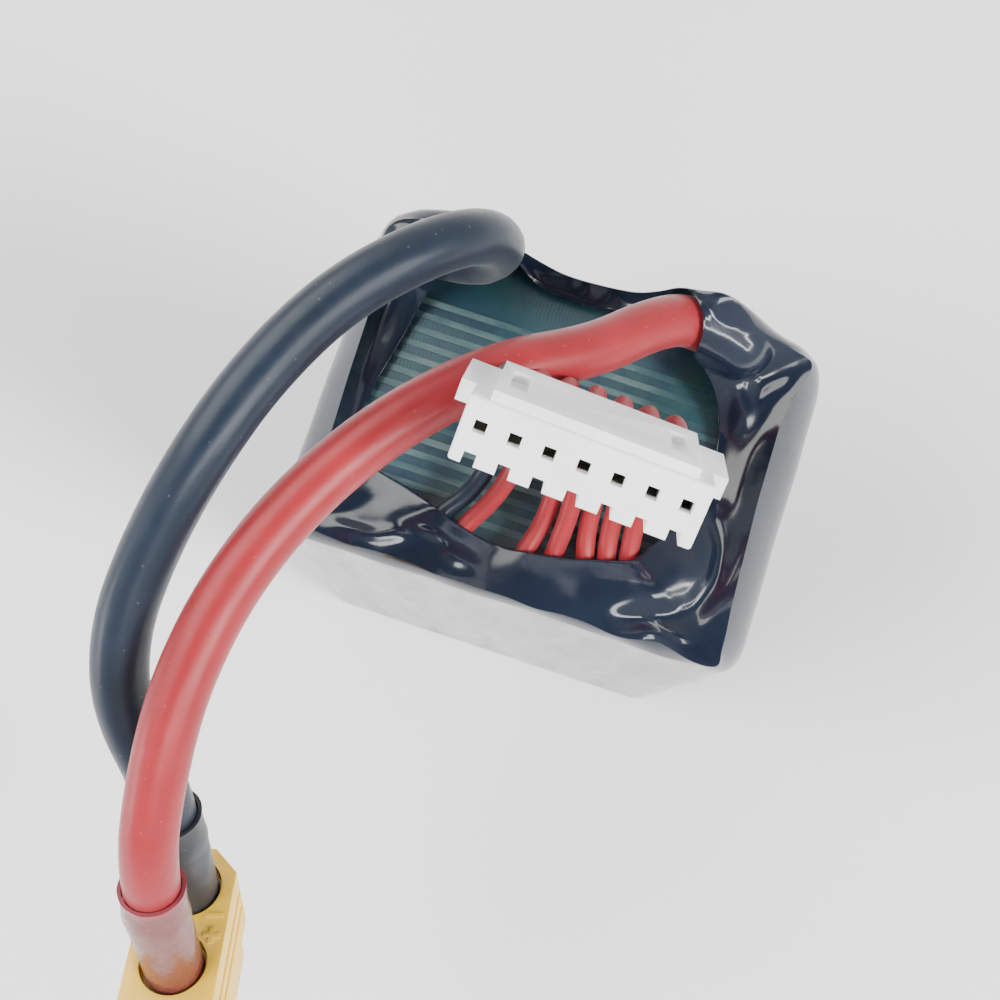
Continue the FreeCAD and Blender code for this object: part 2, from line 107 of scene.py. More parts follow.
WIRE_ROUTES = [
    [(-9.0, -13.4, 58.1), (-8.4, -10.4, 58.2), (-5.2, -6.6, 59.4), (-4.3, -1.3, 64.4),
     (-4.9, 2.5, 71.1), (-5.44, -1.69, 77.46), (-5.27, -4.38, 82.37)],
    [(-6.6, -13.4, 58.1), (-5.9, -10.9, 58.2), (-3.0, -6.5, 60.8), (-2.2, -1.4, 65.2),
     (-2.5, 2.4, 71.1), (-2.94, -1.79, 77.32), (-2.77, -4.47, 82.23)],
    [(-0.2, -13.4, 58.1), (0.3, -10.9, 58.2), (1.5, -6.8, 59.6), (0.8, -1.2, 64.8),
     (-0.3, 2.4, 71.0), (-0.45, -1.88, 77.19), (-0.28, -4.56, 82.10)],
    [(2.9, -13.4, 58.1), (2.9, -10.7, 58.2), (3.2, -6.6, 60.9), (2.7, -1.2, 65.5),
     (2.0, 2.5, 71.2), (2.05, -1.97, 77.05), (2.22, -4.66, 81.96)],
    [(6.1, -13.4, 58.1), (6.1, -10.7, 58.2), (4.9, -6.7, 59.9), (4.7, -1.3, 64.7),
     (4.2, 2.4, 71.0), (4.54, -2.06, 76.92), (4.71, -4.75, 81.83)],
    [(8.1, -13.4, 58.1), (8.0, -10.7, 58.2), (6.9, -6.6, 59.9), (6.7, -1.3, 64.7),
     (6.3, 2.3, 71.0), (7.04, -2.15, 76.78), (7.21, -4.84, 81.69)],
    [(10.1, -13.4, 58.1), (9.9, -10.6, 58.2), (8.9, -6.4, 59.9), (8.8, -1.3, 64.7),
     (8.5, 2.2, 71.0), (9.53, -2.25, 76.64), (9.70, -4.93, 81.55)],
]


# ---- node materials ----------------------------------------------------------------------------
# The colour sockets of a Mix node, whose names repeat for each data type.
MIX_LOW = 6
MIX_HIGH = 7
MIX_COLOUR = 2


class Paint:
    """A node material under construction; every texture runs in the object's own metres."""

    def __init__(self, name):
        self.material = bpy.data.materials.new(name)
        self.material.use_nodes = True
        self.nodes = self.material.node_tree.nodes
        self.links = self.material.node_tree.links
        self.shader = self.nodes["Principled BSDF"]
        self.place = self.nodes.new("ShaderNodeTexCoord").outputs["Object"]

    def add(self, kind, values=None, **settings):
        node = self.nodes.new(kind)
        for key, value in settings.items():
            setattr(node, key, value)
        for key, value in (values or {}).items():
            self.feed(node.inputs[key], value)
        return node

    def feed(self, socket, value):
        if isinstance(value, bpy.types.NodeSocket):
            self.links.new(value, socket)
        else:
            socket.default_value = value

    def set(self, **values):
        for key, value in values.items():
            self.feed(self.shader.inputs[key.replace("_", " ")], value)

    def stretched(self, scale):
        return self.add("ShaderNodeMapping", {"Vector": self.place, "Scale": scale}).outputs[0]

    def grain(self, size_mm, detail=3.0, stretch=None, roughness=0.55):
        """Noise from 0 to 1 whose features are about size_mm across."""
        values = {
            "Vector": self.stretched(stretch) if stretch else self.place,
            "Scale": 1 / (size_mm * MM),
            "Detail": detail,
            "Roughness": roughness,
        }
        return self.add("ShaderNodeTexNoise", values).outputs["Fac"]

    def spots(self, size_mm):
        """The distance to the nearest of random points that are about size_mm apart."""
        values = {"Vector": self.place, "Scale": 1 / (size_mm * MM)}
        return self.add("ShaderNodeTexVoronoi", values).outputs["Distance"]

    def between(self, factor, low, high, steps=(0.3, 0.7)):
        """A number from low to high as the factor goes across the steps."""
        values = {
            "Value": factor,
            "From Min": steps[0],
            "From Max": steps[1],
            "To Min": low,
            "To Max": high,
        }
        return self.add("ShaderNodeMapRange", values).outputs[0]

    def shades(self, factor, stops):
        """A colour ramp through (position, (r, g, b)) stops."""
        ramp = self.add("ShaderNodeValToRGB", {"Fac": factor})
        elements = ramp.color_ramp.elements
        while len(elements) < len(stops):
            elements.new(0.5)
        for element, (position, colour) in zip(elements, stops):
            element.position = position
            element.color = (*colour, 1)
        return ramp.outputs["Color"]

    def mixed(self, factor, low, high):
        """A mix of two colours; each is a socket or (r, g, b)."""
        node = self.add("ShaderNodeMix", data_type="RGBA")
        self.feed(node.inputs["Factor"], factor)
        for index, colour in ((MIX_LOW, low), (MIX_HIGH, high)):
            plain = not isinstance(colour, bpy.types.NodeSocket)
            self.feed(node.inputs[index], (*colour, 1) if plain else colour)
        return node.outputs[MIX_COLOUR]

    def bumps(self, *layers):
        """Bump layers of (height, distance in millimetres), one on the other."""
        normal = None
        for height, distance_mm in layers:
            values = {"Height": height, "Distance": distance_mm * MM, "Strength": 1.0}
            node = self.add("ShaderNodeBump", values)
            if normal is not None:
                self.feed(node.inputs["Normal"], normal)
            normal = node.outputs["Normal"]
        self.feed(self.shader.inputs["Normal"], normal)


def toned(colour, share):
    """A colour made darker, or lighter with a share over 1."""
    return tuple(channel * share for channel in colour)


def silicone(name, colour, roughness):
    """Satin silicone rubber: chalky patches, a fine grain and specks of dust."""
    paint = Paint(name)
    patches = paint.grain(5.0, 4.0)
    bloom = paint.shades(patches, [(0.3, toned(colour, 0.88)), (0.7, toned(colour, 1.08))])
    dust = paint.between(paint.spots(1.1), 0.10, 0.0, (0.02, 0.10))
    paint.set(Base_Color=paint.mixed(dust, bloom, (0.75, 0.72, 0.70)))
    paint.set(Roughness=paint.between(paint.grain(1.6, 5.0), roughness - 0.05, roughness + 0.08))
    paint.set(Specular_IOR_Level=0.22, Sheen_Weight=0.10, Sheen_Roughness=0.5, Coat_Weight=0.04)
    paint.set(Coat_Roughness=0.22, Subsurface_Weight=0.06, Subsurface_Scale=0.6 * MM)
    paint.bumps((paint.grain(0.35, 4.0), 0.012), (paint.grain(4.0, 2.0), 0.05))
    return paint.material


def film_paint():
    """Glossy black shrunk film with drawn streaks, orange peel and faint scuffs."""
    paint = Paint("shrunk_film")
    cloud = paint.grain(9.0, 3.0)
    tone = paint.shades(cloud, [(0.25, (0.005, 0.008, 0.018)), (0.8, (0.011, 0.017, 0.032))])
    paint.set(Base_Color=tone)
    scuff = paint.grain(2.2, 6.0, (1.0, 1.0, 0.25))
    paint.set(Roughness=paint.between(scuff, 0.11, 0.21, (0.35, 0.75)))
    paint.set(IOR=1.5, Coat_Weight=0.05, Coat_Roughness=0.09)
    streak = paint.grain(2.4, 3.0, (1.0, 1.0, 0.12))
    paint.bumps((streak, 0.014), (paint.grain(0.5, 2.0), 0.0025), (paint.grain(4.5, 2.0), 0.05))
    return paint.material


def moulded(name, colour, roughness, glow=0.1):
    """Injection-moulded nylon: fine grain, soft flow marks, flecks and a little light inside."""
    paint = Paint(name)
    flow = paint.grain(4.5, 3.0, (1.0, 0.4, 1.0))
    tone = paint.shades(flow, [(0.3, toned(colour, 0.94)), (0.7, toned(colour, 1.04))])
    fleck = paint.between(paint.spots(1.7), 0.22, 0.0, (0.01, 0.045))
    paint.set(Base_Color=paint.mixed(fleck, tone, toned(colour, 0.45)))
    paint.set(Roughness=paint.between(paint.grain(0.8, 5.0), roughness - 0.07, roughness + 0.09))
    paint.set(Subsurface_Weight=glow, Subsurface_Scale=0.8 * MM, Specular_IOR_Level=0.5)
    paint.bumps((paint.grain(0.12, 3.0), 0.006), (flow, 0.02))
    return paint.material


def metal(name, colour, roughness, drawn=(1.0, 1.0, 1.0)):
    """Plated or tinned metal with fine lines and dull patches."""
    paint = Paint(name)
    patch = paint.grain(1.8, 4.0)
    paint.set(Base_Color=paint.shades(patch, [(0.3, toned(colour, 0.8)), (0.72, colour)]))
    paint.set(Metallic=1.0)
    line = paint.grain(0.18, 5.0, drawn)
    paint.set(Roughness=paint.between(line, roughness - 0.06, roughness + 0.12))
    paint.bumps((line, 0.004), (patch, 0.02))
    return paint.material


def clear_sleeve(name, colour, clarity):
    """Shrunk tube that the wire and the cup show through, with drawn streaks."""
    paint = Paint(name)
    cloud = paint.grain(2.4, 4.0)
    paint.set(Base_Color=paint.shades(cloud, [(0.3, toned(colour, 0.85)), (0.7, colour)]))
    paint.set(Alpha=paint.between(cloud, 1.06 - clarity, 0.94 - clarity))
    paint.set(Roughness=paint.between(paint.grain(0.9, 4.0), 0.2, 0.34), Coat_Weight=0.3)
    paint.bumps((paint.grain(0.9, 3.0, (0.3, 1.0, 0.3)), 0.03))
    return paint.material


def board_paint():
    """Solder mask over a woven glass board, with the weave and flux stains in it."""
    paint = Paint("solder_mask")
    values = {"Vector": paint.place, "Scale": 900.0, "Distortion": 0.6}
    weave = paint.add("ShaderNodeTexWave", values)
    stain = paint.grain(5.5, 4.0)
    stops = [
        (0.28, (0.010, 0.022, 0.048)),
        (0.5, (0.014, 0.045, 0.062)),
        (0.75, (0.022, 0.072, 0.074)),
    ]
    mask = paint.shades(stain, stops)
    paint.set(Base_Color=mask, Coat_Weight=0.4, Coat_Roughness=0.2, Specular_IOR_Level=0.4)
    paint.set(Roughness=paint.between(paint.grain(1.2, 4.0), 0.32, 0.5))
    paint.bumps((weave.outputs["Fac"], 0.006), (paint.grain(0.3, 2.0), 0.01))
    return paint.material


def track_paint():
    """Raised tracks under the mask, paler where flux dried on them."""
    paint = Paint("masked_track")
    worn = paint.grain(2.6, 5.0, (0.35, 1.0, 1.0))
    tone = paint.shades(worn, [(0.36, (0.012, 0.055, 0.070)), (0.70, (0.095, 0.150, 0.145))])
    paint.set(Base_Color=tone)
    paint.set(Roughness=paint.between(worn, 0.3, 0.52), Coat_Weight=0.2)
    paint.bumps((paint.grain(0.35, 3.0), 0.02))
    return paint.material


def fibre(name, colour, size_mm, roughness=0.85):
    """Pressed paper, tape or foam: a matt, cloudy, pitted surface, with painted shade in the pits."""
    paint = Paint(name)
    cells = paint.spots(size_mm)
    cloud = paint.grain(3.0, 5.0)
    tone = paint.shades(cloud, [(0.3, toned(colour, 0.8)), (0.7, toned(colour, 1.1))])
    # painted shade: the colour darkens towards the bottom of each pit that the bump presses in
    pit_shade = paint.between(cells, 0.45, 0.0, (0.0, 0.5))
    paint.set(Base_Color=paint.mixed(pit_shade, tone, toned(colour, 0.5)))
    paint.set(Roughness=roughness, Specular_IOR_Level=0.3)
    paint.bumps((cells, size_mm * 0.25), (paint.grain(0.3, 4.0), 0.02))
    return paint.material


def foil_paint():
    """Embossed aluminium laminate of a pouch cell, with painted shade in the hollows of its creases
    and painted light on their ridges.
    """
    paint = Paint("pouch_foil")
    dimple = paint.spots(0.7)
    crease = paint.grain(6.0, 3.0)
    # painted shade and light: the colour follows the crease relief, darker in its hollows and lighter
    # on its ridges
    paint.set(Base_Color=paint.shades(crease, [(0.3, (0.45, 0.46, 0.48)), (0.7, (0.68, 0.69, 0.71))]))
    paint.set(Metallic=0.9, Roughness=paint.between(crease, 0.28, 0.45))
    paint.bumps((dimple, 0.02), (crease, 0.15))
    return paint.material


RED = (0.29, 0.018, 0.024)
BLACK = (0.010, 0.017, 0.030)
PAINTS = {
    "film": film_paint(),
    "red_wire": silicone("red_silicone", RED, 0.36),
    "black_wire": silicone("black_silicone", BLACK, 0.34),
    "plug_nylon": moulded("yellow_nylon", (0.86, 0.54, 0.040), 0.42, 0.18),
    "white_nylon": moulded("white_nylon", (0.89, 0.90, 0.89), 0.45, 0.15),
    "gold": metal("gold_plate", (0.83, 0.60, 0.25), 0.24),
    "tin": metal("tinned_metal", (0.62, 0.60, 0.52), 0.34),
    "solder": metal("solder_metal", (0.58, 0.59, 0.60), 0.26),
    "aluminium_tab": metal("aluminium_tab", (0.74, 0.75, 0.76), 0.30, (1.0, 1.0, 0.2)),
    "nickel_tab": metal("nickel_tab", (0.66, 0.64, 0.58), 0.32, (1.0, 1.0, 0.2)),
    "red_sleeve": clear_sleeve("clear_red_tube", (0.23, 0.058, 0.048), 0.36),
    "black_sleeve": silicone("black_tube", (0.019, 0.021, 0.028), 0.42),
    "sleeve_rim": silicone("red_tube_rim", (0.26, 0.040, 0.055), 0.4),
    "board": board_paint(),
    "tracks": track_paint(),
    "pad": fibre("foam_pad", (0.06, 0.06, 0.066), 0.6),
    "tape": fibre("paper_tape", (0.70, 0.68, 0.62), 0.3),
    "insulation": fibre("pressed_board", (0.34, 0.44, 0.36), 0.35, 0.7),
    "pouch": foil_paint(),
}


def paint_frame():
    """Gives every node of the frame the paint of its slot in the record."""
    slots = {part["node"]: part["material_slot"] for part in frame["record"]["subparts"]}
    for name, node in NODES.items():
        paint = PAINTS[slots[name]]
        node.data.materials.clear()
        node.data.materials.append(paint)


# ---- helpers for new pieces --------------------------------------------------------------------
SHARP_EDGE = math.radians(38)
FLAT_ENOUGH = math.radians(0.6)
SAME_PLACE = 1e-7
SAME_SEAM = 1e-8


def dress(piece, slot, *replaced):
    """Gives a piece its paint and its body, and hides the nodes that it stands for."""
    piece.data.materials.append(PAINTS[slot])
    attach(piece, BODY)
    if replaced:
        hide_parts(*replaced)
    return piece


def mesh_piece(name, mesh_data):
    """An object from a bmesh, smooth over gentle edges and sharp over strong ones."""
    mesh = bpy.data.meshes.new(name)
    mesh_data.to_mesh(mesh)
    mesh_data.free()
    mesh.shade_smooth()
    mesh.set_sharp_from_angle(angle=SHARP_EDGE)
    piece = bpy.data.objects.new(name, mesh)
    bpy.context.scene.collection.objects.link(piece)
    return piece


def add_rings(data, rings):
    """Joins rings of points with quads."""
    rows = [[data.verts.new(point) for point in ring] for ring in rings]
    count = len(rows[0])
    for row, after in zip(rows, rows[1:]):
        for index in range(count):
            following = (index + 1) % count
            data.faces.new((row[index], row[following], after[following], after[index]))


def cord_curve(name, route, diameter):
    """A round cord on one smooth spline that has the route's points as its control points."""
    curve = bpy.data.curves.new(name, "CURVE")
    curve.dimensions = "3D"
    curve.resolution_u = 16
    curve.bevel_depth = diameter * MM / 2
    curve.bevel_resolution = 8
    curve.use_fill_caps = True
    spline = curve.splines.new("NURBS")
    spline.points.add(len(route) - 1)
    for point, place in zip(spline.points, route):
        point.co = (*mm(*place), 1)
    spline.order_u = 3
    spline.use_endpoint_u = True
    piece = bpy.data.objects.new(name, curve)
    bpy.context.scene.collection.objects.link(piece)
    return piece


def centreline(route):
    """Points along the smooth line of a cord, in millimetres."""
    bare = cord_curve("centreline", route, 0)
    bare.data.use_fill_caps = False
    mesh = bpy.data.meshes.new_from_object(bare)
    line = [vertex.co / MM for vertex in mesh.vertices]
    bpy.data.objects.remove(bare)
    bpy.data.meshes.remove(mesh)
    return line


def softened(node, width_mm, name, corner=30):
    """A copy of a node's solid with its faces rebuilt whole and its corners rounded."""
    data = bmesh.new()
    data.from_mesh(NODES[node].data)
    bmesh.ops.remove_doubles(data, verts=data.verts, dist=SAME_PLACE)
    bmesh.ops.dissolve_limit(data, angle_limit=FLAT_ENOUGH, verts=data.verts, edges=data.edges)
    strong = [
        edge for edge in data.edges
        if len(edge.link_faces) == 2 and edge.calc_face_angle() > math.radians(corner)
    ]
    bmesh.ops.bevel(
        data, geom=strong, offset=width_mm * MM, segments=3, profile=0.5,
        affect="EDGES", clamp_overlap=True,
    )
    bmesh.ops.recalc_face_normals(data, faces=data.faces)
    return mesh_piece(name, data)


# ---- camera ------------------------------------------------------------------------------------
CAMERA_PLACE = mm(0.39, -29.19, 181.2)
CAMERA_TURN = math.radians(18)
CAMERA_TILT = math.radians(10.47)
CAMERA_TILT_AXIS = Vector((0.986, -0.164, 0.036))
LENS = 50.4


def add_camera():
    camera = bpy.data.cameras.new("camera")
    camera.lens = LENS
    camera.sensor_width = 36
    camera.clip_start = 0.001
    piece = bpy.data.objects.new("camera", camera)
    bpy.context.scene.collection.objects.link(piece)
    turn = Matrix.Rotation(CAMERA_TURN, 4, "Z") @ Matrix.Rotation(CAMERA_TILT, 4, CAMERA_TILT_AXIS)
    piece.matrix_world = Matrix.Translation(CAMERA_PLACE) @ turn
    bpy.context.scene.camera = piece


# ---- floor and light ---------------------------------------------------------------------------
FLOOR_HALF = 1.5
FLOOR_GAP = 0.05 * MM
LAMP_TARGET = Vector((0, 0, 0.05))
WHITE = (1, 1, 1)
# Lamps as name, place, size, power and colour. Soft light on the object, without a reflection:
SOFT_LAMPS = [
    ("window", (0.80, -0.14, 0.68), (0.34, 0.34), 19.0, (1.0, 0.99, 0.97)),
    ("card", (0.2, -1.1, 0.75), (0.9, 0.35), 4.0, WHITE),
    ("ceiling", (-0.75, -0.35, 0.9), (0.7, 0.7), 21.5, WHITE),
]
# Bright shapes that only show as reflections:
MIRRORED_LAMPS = [
    ("window_glow", (0.80, -0.14, 0.68), (0.46, 0.40), 18.0, (1.0, 0.99, 0.97)),
    ("window_side", (0.40, -0.48, 0.78), (0.62, 0.22), 7.0, (1.0, 0.99, 0.97)),
    ("skylight", (-0.72, 0.38, 0.86), (1.2, 1.0), 26.0, (1.0, 0.99, 0.93)),
]
SIDE_LAMP = ("wall", (-1.0, -0.7, 0.16), (0.5, 0.2), 5.0, (0.98, 0.99, 1.0))
# The grey of the surroundings by height: the sine of the angle above the horizon, and the level.
SKY_STOPS = [(0.0, 1.05), (0.45, 1.0), (0.80, 0.52), (0.97, 0.16)]
SKY_TINT = (0.97, 0.99, 1.0)
SKY_STRENGTH = 0.92


def add_floor():
    data = bmesh.new()
    bmesh.ops.create_grid(data, x_segments=1, y_segments=1, size=FLOOR_HALF)
    floor = mesh_piece("floor", data)
    floor.location.z = -FLOOR_GAP
    paint = Paint("pale_floor")
    cloud = paint.grain(160.0, 2.0)
    paint.set(Base_Color=paint.shades(cloud, [(0.2, (0.84, 0.845, 0.85)), (0.8, (0.88, 0.88, 0.88))]))
    paint.set(Roughness=0.7, Specular_IOR_Level=0.25)
    floor.data.materials.append(paint.material)


def add_lamp(name, place, size, power, colour):
    lamp = bpy.data.lights.new(name, "AREA")
    lamp.shape = "RECTANGLE"
    lamp.size, lamp.size_y = size
    lamp.energy = power
    lamp.color = colour
    piece = bpy.data.objects.new(name, lamp)
    bpy.context.scene.collection.objects.link(piece)
    piece.location = place
    piece.rotation_euler = (LAMP_TARGET - Vector(place)).to_track_quat("-Z", "Y").to_euler()
    return piece


def add_light():
    world = bpy.data.worlds.new("studio")
    bpy.context.scene.world = world
    world.use_nodes = True
    nodes = world.node_tree.nodes
    links = world.node_tree.links
    place = nodes.new("ShaderNodeTexCoord")
    split = nodes.new("ShaderNodeSeparateXYZ")
    links.new(place.outputs["Generated"], split.inputs[0])
    ramp = nodes.new("ShaderNodeValToRGB")
    while len(ramp.color_ramp.elements) < len(SKY_STOPS):
        ramp.color_ramp.elements.new(0.5)
    for element, (position, grey) in zip(ramp.color_ramp.elements, SKY_STOPS):
        element.position = position
        element.color = (*toned(SKY_TINT, grey), 1)
    links.new(split.outputs["Z"], ramp.inputs["Fac"])
    background = nodes["Background"]
    links.new(ramp.outputs["Color"], background.inputs["Color"])
    background.inputs["Strength"].default_value = SKY_STRENGTH
    for lamp in SOFT_LAMPS:
        add_lamp(*lamp).visible_glossy = False
    for lamp in MIRRORED_LAMPS:
        add_lamp(*lamp).visible_diffuse = False
    add_lamp(*SIDE_LAMP)


# ---- shrink film -------------------------------------------------------------------------------
# Both lines go once round the pack against the clock, seen from above, from its +X side, in
# millimetres. The crest is where the film turns over from the wall to the top, and the hem is
# its free edge, over the board and over the two leads.
FILM_CREST = [
    (18.65, 0.0, 60.2), (18.6, 8.0, 60.2), (19.2, 10.6, 60.4), (20.1, 13.4, 60.9),
    (18.4, 14.0, 61.3), (16.4, 14.0, 61.9), (15.0, 13.9, 62.6), (13.6, 13.9, 64.0),
    (12.3, 14.4, 65.5), (11.0, 14.8, 66.7), (9.6, 14.9, 67.3), (8.0, 14.6, 66.7),
    (5.0, 14.8, 63.3), (3.2, 14.9, 60.8), (1.0, 14.9, 59.3), (-4.0, 14.9, 58.9),
    (-7.5, 15.0, 60.2), (-9.3, 15.1, 62.0), (-11.0, 15.1, 64.6), (-12.6, 15.0, 66.2),
    (-14.4, 14.5, 66.6), (-16.2, 14.1, 65.2), (-17.4, 13.9, 63.4), (-18.6, 14.0, 63.4),
    (-20.2, 13.4, 62.2), (-20.3, 11.0, 60.6), (-19.6, 8.0, 60.1), (-19.4, 0.0, 60.0),
    (-19.0, -8.0, 60.1), (-19.6, -13.2, 59.8), (-18.5, -14.7, 59.7), (-14.5, -15.0, 59.8),
    (-10.0, -14.5, 59.5), (-6.0, -15.1, 59.8), (-1.0, -14.9, 59.6), (4.0, -15.2, 59.8),
    (8.0, -14.9, 59.7), (11.5, -15.3, 59.8), (14.2, -14.4, 59.4), (16.5, -15.4, 60.0),
    (19.6, -15.3, 60.1), (19.1, -10.0, 60.2),
]
FILM_HEM = [
    (14.3, 0.0, 57.8), (14.5, 2.1, 57.8), (14.0, 5.2, 57.9), (13.1, 7.6, 58.2),
    (11.9, 9.1, 59.2), (10.2, 10.0, 61.0), (8.9, 11.0, 63.2), (8.3, 12.3, 65.2),
    (7.6, 13.6, 65.6), (5.8, 14.5, 63.6), (4.2, 14.2, 60.4), (1.6, 13.4, 58.0),
    (-3.0, 13.2, 57.8), (-6.4, 13.5, 57.9), (-8.0, 14.2, 58.9), (-9.6, 14.9, 61.4),
    (-11.2, 14.9, 64.2), (-12.8, 14.7, 65.7), (-13.6, 14.1, 65.4), (-13.9, 12.8, 64.1),
    (-14.2, 11.4, 63.0), (-14.9, 10.2, 60.6), (-15.7, 9.0, 58.4), (-16.2, 5.5, 57.8),
    (-17.3, 0.0, 57.9), (-17.9, -5.0, 57.9), (-17.0, -6.8, 58.1), (-14.5, -7.7, 58.4),
    (-11.2, -8.5, 59.1), (-8.2, -9.6, 60.0), (-5.9, -10.4, 59.9), (-2.6, -11.0, 59.2),
    (0.7, -10.9, 60.0), (4.4, -10.2, 60.1), (7.4, -9.4, 60.3), (9.8, -8.7, 60.4),
    (12.4, -4.6, 59.0), (13.9, -1.5, 57.9),
]
# Folds of the film on the pack's top: the line along each one's middle, its half width and its
# height, below zero for a valley.
FILM_FOLDS = [
    ([(12.2, -9.2), (12.9, -7.8)], 2.60, 1.15),
    (
        [(10.6, -13.7), (13.6, -12.5), (16.2, -10.7), (17.4, -7.6), (17.2, -4.6), (15.8, -2.2)],
        1.00, -0.75,
    ),
    ([(12.6, -14.1), (14.3, -13.4), (16.0, -13.7)], 0.45, 0.45),
    ([(17.6, -14.6), (18.9, -15.0)], 0.40, 0.45),
    ([(-5.4, -13.0), (-4.8, -13.3)], 0.80, 0.55),
    ([(-8.3, -11.7), (-7.0, -11.9)], 0.40, 0.40),
    ([(12.2, 10.6), (15.2, 8.2)], 2.10, 1.50),
    ([(15.8, 11.0), (17.0, 6.0), (17.3, 0.0), (17.6, -8.0)], 1.10, -0.25),
    ([(16.6, 9.6), (18.4, 11.4)], 0.45, 0.40),
    ([(-16.0, -13.9), (-12.6, -13.6), (-10.6, -12.7)], 0.60, 0.40),
    ([(-18.4, 8.4), (-18.8, 0.0)], 0.60, -0.30),
]
# How many sections go round the pack, and how many rows of points each part of a section has.
FILM_STATIONS = 640
LIP_STEPS = 4
FOOT_STEPS = 8
WALL_LEVELS = 40
SHOULDER_STEPS = 18
FALL_STEPS = 30
EDGE_STEPS = 6
TUCK_STEPS = 3
# The wall: half its width and depth, the radius of its corners and of its foot, the width and
# height of the lip under the pack, how far the two narrow walls swell, and the share of their
# height where they are full.
FILM_OUT = (21.75, 15.4)
FILM_ROUND = 3.0
FILM_FOOT = 1.4
FILM_LIP = 5.0
LIP_HIGH = 0.06
FILM_SWELL = 0.45
SWELL_TOP = 0.62
# Grooves between the cells, and a slow waviness, which is drawn out up the wall.
CELL_PITCH = 7.1
GROOVE_DEEP = 0.32
GROOVE_HALF = 1.3
GROOVE_FADE = 0.12
WAVE_HIGH = 0.12
WAVE_GRAIN = 0.2
WAVE_GRAIN_UP = 0.06
# The shoulder: where a narrow wall ends below it, and how far below the crest a broad wall ends,
# in all and for each millimetre that the crest is further in. Then the bend between wall and crest.
SHOULDER_Z = 54.0
SIDE_DROP = 1.0
SIDE_DROP_PER_INSET = 1.2
KNEE_SHARE = 0.42
KNEE_OUT = 0.13
KNEE_RISE = 0.3
# The fall from crest to hem: it comes early over the board, and late over a lead, which is where
# the crest is high. The folds fade towards the hem, and a little noise lies over all of it.
HUMP_FROM = 61.0
HUMP_RISE = 3.0
FALL_FLAT = 1.7
FALL_HUMP = 1.45
FOLD_KEPT = 0.86
SHIVER_HIGH = 0.08
SHIVER_GRAIN = 0.4
# The rounded free edge, and what is tucked back under it.
HEM_THICK = 0.34
TUCK_STEP = 0.35
# The crest's raggedness over the broad walls, coarse and fine.
RAGGED = 0.35
RAGGED_GRAIN = 0.75
RAGGED_FINE = 0.6
RAGGED_FINE_GRAIN = 2.1
# How the film keeps off the leads: the gap from their middle, how softly, how far from their
# exits, from which row of a section up, and how often that is done. Then how many neighbours on
# each side a point is averaged over, on the crest, on the hem and after each settling.
LEAD_KEEP_OFF = 2.5
LEAD_BLEND = 0.7
UNDER_FILM = 13.0
UPPER_FROM = LIP_STEPS + FOOT_STEPS + 30
SETTLES = 3
CREST_REACH = 2
HEM_REACH = 5
SETTLE_REACH = 2


def on_line(line, angle):
    """Where the ray at an angle meets a closed line of points, which turns against the clock."""
    turns = [math.atan2(place[1], place[0]) % math.tau for place in line]
    after = bisect_right(turns, angle) % len(line)
    near, far = Vector(line[after - 1]), Vector(line[after])
    ray = Vector((math.cos(angle), math.sin(angle)))
    near_side, far_side = ray.cross(near.xy), ray.cross(far.xy)
    return near.lerp(far, near_side / (near_side - far_side))


def rounded_outline(angle):
    """The wall's outer line where the ray at an angle meets it, and the wall's direction there."""
    ray = Vector((math.cos(angle), math.sin(angle)))
    core = Vector(FILM_OUT) - Vector((FILM_ROUND, FILM_ROUND))
    reach = min(limit / max(abs(part), 1e-9) for limit, part in zip(FILM_OUT, ray))
    place = ray * reach
    corner = Vector((math.copysign(core.x, ray.x), math.copysign(core.y, ray.y)))
    if abs(place.x) > core.x and abs(place.y) > core.y:
        along = ray.dot(corner)
        reach = along + math.sqrt(along * along - corner.length_squared + FILM_ROUND ** 2)
        place = ray * reach
        return place, (place - corner).normalized()
    if abs(place.x) > core.x:
        return place, Vector((math.copysign(1, ray.x), 0))
    return place, Vector((0, math.copysign(1, ray.y)))


def rounded_off(line, reach):
    """A closed line of points, each averaged twice over its neighbours within reach."""
    count = len(line)
    near = range(-reach, reach + 1)
    for _ in range(2):
        line = [
            sum((line[(index + step) % count] for step in near), Vector((0, 0, 0))) / len(near)
            for index in range(count)
        ]
    return line


def fold_height(place):
    """How far the folds lift the film at a place on the pack's top."""
    lift = 0.0
    for line, half_width, height in FILM_FOLDS:
        gap = 1e9
        for start, end in zip(line, line[1:]):
            start, end = Vector(start), Vector(end)
            run = end - start
            share = min(max((place.xy - start).dot(run) / run.length_squared, 0), 1)
            gap = min(gap, (place.xy - start - run * share).length)
        if gap < 3 * half_width:
            lift += height * math.exp(-(gap / half_width) ** 2)
    return lift


def clear_of_leads(place, lines):
    """A place moved softly out of the leads, along the shortest way from their middle."""
    for line in lines:
        nearest = min(line, key=lambda point: (point - place).length_squared)
        away = place - nearest
        gap = away.length
        soft = LEAD_KEEP_OFF + LEAD_BLEND
        if gap < soft:
            moved = LEAD_KEEP_OFF + LEAD_BLEND * math.exp((gap - soft) / LEAD_BLEND)
            place = nearest + away.normalized() * moved
    return place


